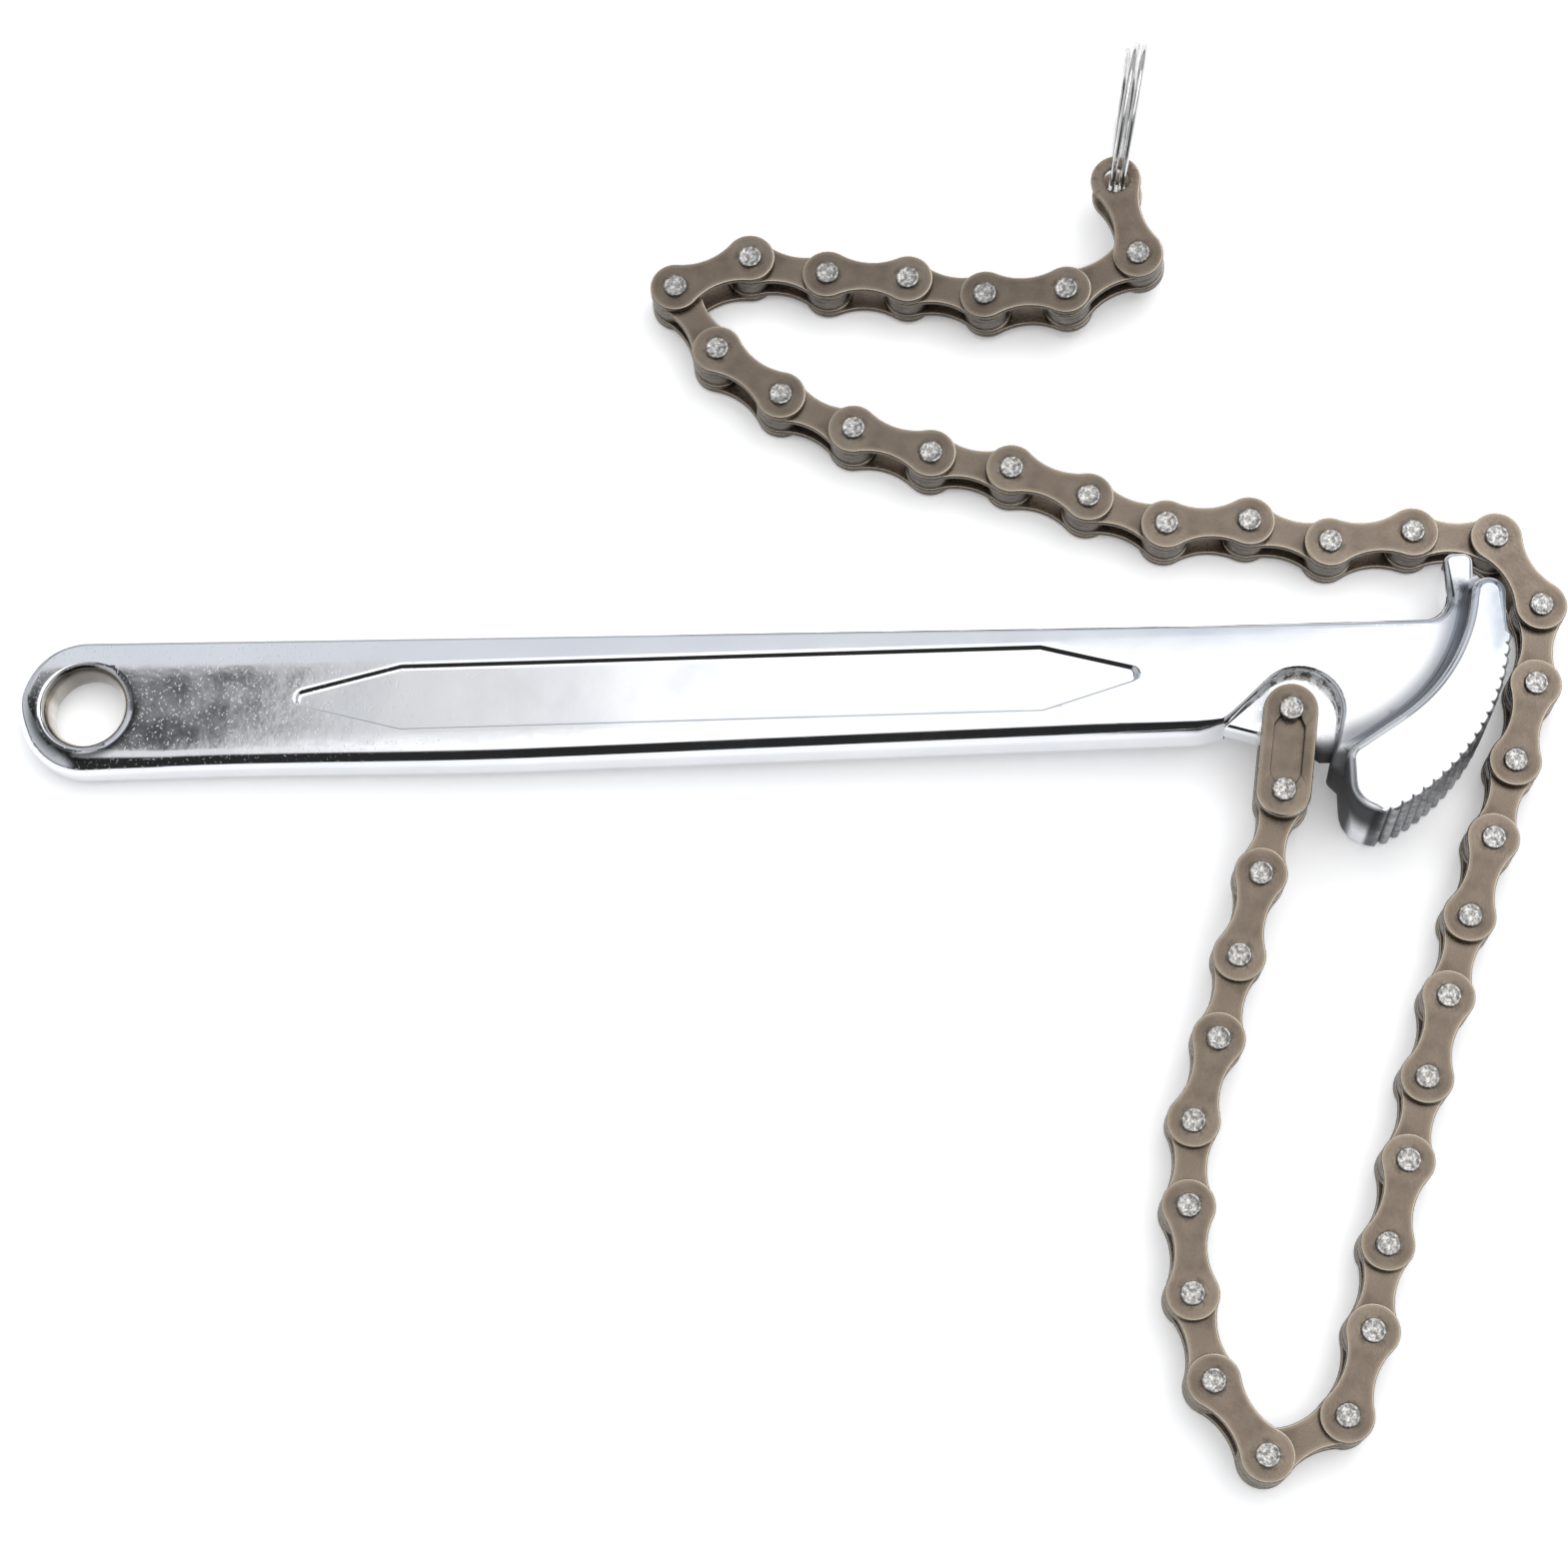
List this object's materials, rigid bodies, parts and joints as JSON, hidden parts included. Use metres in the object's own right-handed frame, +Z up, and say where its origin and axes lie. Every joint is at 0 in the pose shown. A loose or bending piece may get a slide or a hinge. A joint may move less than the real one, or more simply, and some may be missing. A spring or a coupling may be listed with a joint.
{
  "type": "chain wrench",
  "caption": "Chain wrench: forged handle with a hanging hole and a toothed crescent jaw, and a roller chain pinned to its lug that ends in a split ring.",
  "frame": {"origin": "middle of the footprint on the bench, where the wrench lies flat", "axes": "+X along the grip towards the jaw, +Y from the grip towards the side of the ring, +Z up from the bench"},
  "size_m": [0.2362, 0.225, 0.0249],
  "materials": {
    "handle_chrome": "polished chrome plate over a forged and lightly pitted surface",
    "link_steel": "satin browned steel",
    "clip_steel": "satin browned spring steel",
    "pin_steel": "bright riveted pin ends",
    "ring_nickel": "bright nickel-plated wire"
  },
  "bodies": {
    "handle": {"handle": "handle_chrome"},
    "link_01": {"connecting_link_pin_plate": "pin_steel", "connecting_link_cover_plate": "link_steel", "spring_clip": "clip_steel"},
    "link_02": {"inner_link_02": "link_steel"},
    "link_03": {"outer_link_03": "link_steel"},
    "link_04": {"inner_link_04": "link_steel"},
    "link_05": {"outer_link_05": "link_steel"},
    "link_06": {"inner_link_06": "link_steel"},
    "link_07": {"outer_link_07": "link_steel"},
    "link_08": {"inner_link_08": "link_steel"},
    "link_09": {"outer_link_09": "link_steel"},
    "link_10": {"inner_link_10": "link_steel"},
    "link_11": {"outer_link_11": "link_steel"},
    "link_12": {"inner_link_12": "link_steel"},
    "link_13": {"outer_link_13": "link_steel"},
    "link_14": {"inner_link_14": "link_steel"},
    "link_15": {"outer_link_15": "link_steel"},
    "link_16": {"inner_link_16": "link_steel"},
    "link_17": {"outer_link_17": "link_steel"},
    "link_18": {"inner_link_18": "link_steel"},
    "link_19": {"outer_link_19": "link_steel"},
    "link_20": {"inner_link_20": "link_steel"},
    "link_21": {"outer_link_21": "link_steel"},
    "link_22": {"inner_link_22": "link_steel"},
    "link_23": {"outer_link_23": "link_steel"},
    "link_24": {"inner_link_24": "link_steel"},
    "link_25": {"outer_link_25": "link_steel"},
    "link_26": {"inner_link_26": "link_steel"},
    "link_27": {"outer_link_27": "link_steel"},
    "link_28": {"inner_link_28": "link_steel"},
    "link_29": {"outer_link_29": "link_steel"},
    "link_30": {"inner_link_30": "link_steel"},
    "link_31": {"outer_link_31": "link_steel"},
    "link_32": {"inner_link_32": "link_steel"},
    "link_33": {"outer_link_33": "link_steel"},
    "link_34": {"inner_link_34": "link_steel"},
    "link_35": {"outer_link_35": "link_steel"},
    "link_36": {"inner_link_36": "link_steel"},
    "link_37": {"outer_link_37": "link_steel"},
    "link_38": {"inner_link_38": "link_steel"},
    "link_39": {"end_link_39": "link_steel"},
    "ring": {"split_ring": "ring_nickel"}
  },
  "joints": [
    {"name": "anchor_pin", "type": "hinge", "parent": "handle", "child": "link_01", "pos_m": [0.07496, 0.0006, 0.00886], "axis": [0.0251, 0, -0.9997], "range_deg": [-3.7, 2]},
    {"name": "pin_02", "type": "hinge", "parent": "link_01", "child": "link_02", "pos_m": [0.0732, -0.01198, 0.00882], "axis": [0.0251, 0, -0.9997], "range_deg": [-1.8, 1.9]},
    {"name": "pin_03", "type": "hinge", "parent": "link_02", "child": "link_03", "pos_m": [0.06928, -0.02404, 0.00829], "axis": [0.0243, 0.0794, -0.9965], "range_deg": [-1.1, 1.8]},
    {"name": "pin_04", "type": "hinge", "parent": "link_03", "child": "link_04", "pos_m": [0.06557, -0.03615, 0.00724], "axis": [0.0243, 0.0794, -0.9965], "range_deg": [-0.8, 1.6]},
    {"name": "pin_05", "type": "hinge", "parent": "link_04", "child": "link_05", "pos_m": [0.06209, -0.04829, 0.00597], "axis": [0.0243, 0.0707, -0.9972], "range_deg": [-0.6, 1.5]},
    {"name": "pin_06", "type": "hinge", "parent": "link_05", "child": "link_06", "pos_m": [0.05797, -0.06027, 0.00502], "axis": [-0.0243, -0.0707, 0.9972], "range_deg": [-1.3, 0.4]},
    {"name": "pin_07", "type": "hinge", "parent": "link_06", "child": "link_07", "pos_m": [0.05664, -0.07289, 0.0046], "axis": [0, 0, -1], "range_deg": [-0.3, 1.3]},
    {"name": "pin_08", "type": "hinge", "parent": "link_07", "child": "link_08", "pos_m": [0.05664, -0.08559, 0.0046], "axis": [0, 0, -1], "range_deg": [-0.3, 1.4]},
    {"name": "pin_09", "type": "hinge", "parent": "link_08", "child": "link_09", "pos_m": [0.05906, -0.09806, 0.0046], "axis": [0, 0, -1], "range_deg": [-0.2, 1.6]},
    {"name": "pin_10", "type": "hinge", "parent": "link_09", "child": "link_10", "pos_m": [0.06617, -0.10859, 0.0046], "axis": [0, 0, 1], "range_deg": [-2.2, 0.2]},
    {"name": "pin_11", "type": "hinge", "parent": "link_10", "child": "link_11", "pos_m": [0.07768, -0.10322, 0.0046], "axis": [0, 0, 1], "range_deg": [-3.2, 0.2]},
    {"name": "pin_12", "type": "hinge", "parent": "link_11", "child": "link_12", "pos_m": [0.08202, -0.09129, 0.0046], "axis": [0, 0, -1], "range_deg": [-0.3, 4]},
    {"name": "pin_13", "type": "hinge", "parent": "link_12", "child": "link_13", "pos_m": [0.08488, -0.07891, 0.0046], "axis": [0, 0, 1], "range_deg": [-4.8, 0.4]},
    {"name": "pin_14", "type": "hinge", "parent": "link_13", "child": "link_14", "pos_m": [0.08859, -0.06677, 0.0046], "axis": [0, 0, -1], "range_deg": [-0.5, 6.5]},
    {"name": "pin_15", "type": "hinge", "parent": "link_14", "child": "link_15", "pos_m": [0.09209, -0.05456, 0.0046], "axis": [0, 0, 1], "range_deg": [-60, 0.6]},
    {"name": "pin_16", "type": "hinge", "parent": "link_15", "child": "link_16", "pos_m": [0.09602, -0.04248, 0.0046], "axis": [0, 0, -1], "range_deg": [-0.9, 60]},
    {"name": "pin_17", "type": "hinge", "parent": "link_16", "child": "link_17", "pos_m": [0.09994, -0.0304, 0.0046], "axis": [0, 0, 1], "range_deg": [-60, 1.3]},
    {"name": "pin_18", "type": "hinge", "parent": "link_17", "child": "link_18", "pos_m": [0.10428, -0.01847, 0.0046], "axis": [0, 0, -1], "range_deg": [-1.8, 60]},
    {"name": "pin_19", "type": "hinge", "parent": "link_18", "child": "link_19", "pos_m": [0.10842, -0.00646, 0.0046], "axis": [0, 0, 1], "range_deg": [-60, 3.3]},
    {"name": "pin_20", "type": "hinge", "parent": "link_19", "child": "link_20", "pos_m": [0.11234, 0.00562, 0.0046], "axis": [0, 0, -1], "range_deg": [-4.4, 60]},
    {"name": "pin_21", "type": "hinge", "parent": "link_20", "child": "link_21", "pos_m": [0.11411, 0.01819, 0.0046], "axis": [0, 0, 1], "range_deg": [-60, 4]},
    {"name": "pin_22", "type": "hinge", "parent": "link_21", "child": "link_22", "pos_m": [0.10815, 0.02941, 0.0046], "axis": [0, 0, -1], "range_deg": [-7.3, 60]},
    {"name": "pin_23", "type": "hinge", "parent": "link_22", "child": "link_23", "pos_m": [0.0955, 0.03052, 0.0046], "axis": [0, 0, 1], "range_deg": [-60, 17.8]},
    {"name": "pin_24", "type": "hinge", "parent": "link_23", "child": "link_24", "pos_m": [0.08287, 0.02919, 0.0046], "axis": [0, 0, -1], "range_deg": [-21, 60]},
    {"name": "pin_25", "type": "hinge", "parent": "link_24", "child": "link_25", "pos_m": [0.07072, 0.0329, 0.0046], "axis": [0, 0, 1], "range_deg": [-60, 26]},
    {"name": "pin_26", "type": "hinge", "parent": "link_25", "child": "link_26", "pos_m": [0.05802, 0.03268, 0.0046], "axis": [0, 0, -1], "range_deg": [-31, 60]},
    {"name": "pin_27", "type": "hinge", "parent": "link_26", "child": "link_27", "pos_m": [0.04625, 0.03744, 0.0046], "axis": [0, 0, 1], "range_deg": [-60, 39]},
    {"name": "pin_28", "type": "hinge", "parent": "link_27", "child": "link_28", "pos_m": [0.03456, 0.0424, 0.0046], "axis": [0, 0, -1], "range_deg": [-50, 60]},
    {"name": "pin_29", "type": "hinge", "parent": "link_28", "child": "link_29", "pos_m": [0.02218, 0.04526, 0.0046], "axis": [0, 0, 1], "range_deg": [-47, 60]},
    {"name": "pin_30", "type": "hinge", "parent": "link_29", "child": "link_30", "pos_m": [0.01025, 0.0496, 0.0046], "axis": [0, 0, -1], "range_deg": [-60, 38]},
    {"name": "pin_31", "type": "hinge", "parent": "link_30", "child": "link_31", "pos_m": [-0.00097, 0.05556, 0.0046], "axis": [0, 0, -1], "range_deg": [-60, 28]},
    {"name": "pin_32", "type": "hinge", "parent": "link_31", "child": "link_32", "pos_m": [-0.01083, 0.06355, 0.0046], "axis": [0, 0, -1], "range_deg": [-60, 22]},
    {"name": "pin_33", "type": "hinge", "parent": "link_32", "child": "link_33", "pos_m": [-0.01738, 0.07444, 0.0046], "axis": [0, 0, 1], "range_deg": [-19, 60]},
    {"name": "pin_34", "type": "hinge", "parent": "link_33", "child": "link_34", "pos_m": [-0.0056, 0.0792, 0.0046], "axis": [0, 0, -1], "range_deg": [-60, 24]},
    {"name": "pin_35", "type": "hinge", "parent": "link_34", "child": "link_35", "pos_m": [0.00672, 0.07612, 0.0046], "axis": [-0.0309, 0, 0.9995], "range_deg": [-33, 60]},
    {"name": "pin_36", "type": "hinge", "parent": "link_35", "child": "link_36", "pos_m": [0.01935, 0.0748, 0.00499], "axis": [0.0309, 0, -0.9995], "range_deg": [-60, 50]},
    {"name": "pin_37", "type": "hinge", "parent": "link_36", "child": "link_37", "pos_m": [0.03159, 0.07152, 0.00573], "axis": [0.0896, 0.0158, -0.9959], "range_deg": [-60, 60]},
    {"name": "pin_38", "type": "hinge", "parent": "link_37", "child": "link_38", "pos_m": [0.04424, 0.07152, 0.00687], "axis": [-0.0896, -0.0158, 0.9959], "range_deg": [-60, 60]},
    {"name": "pin_39", "type": "hinge", "parent": "link_38", "child": "link_39", "pos_m": [0.05557, 0.07704, 0.00839], "axis": [0.0895, 0.1066, -0.9903], "range_deg": [-59, 60]},
    {"name": "ring_swing", "type": "hinge", "parent": "link_39", "child": "ring", "pos_m": [0.05251, 0.08933, 0.00944], "axis": [-0.0895, -0.1066, 0.9903], "range_deg": [-90, 60]}
  ]
}
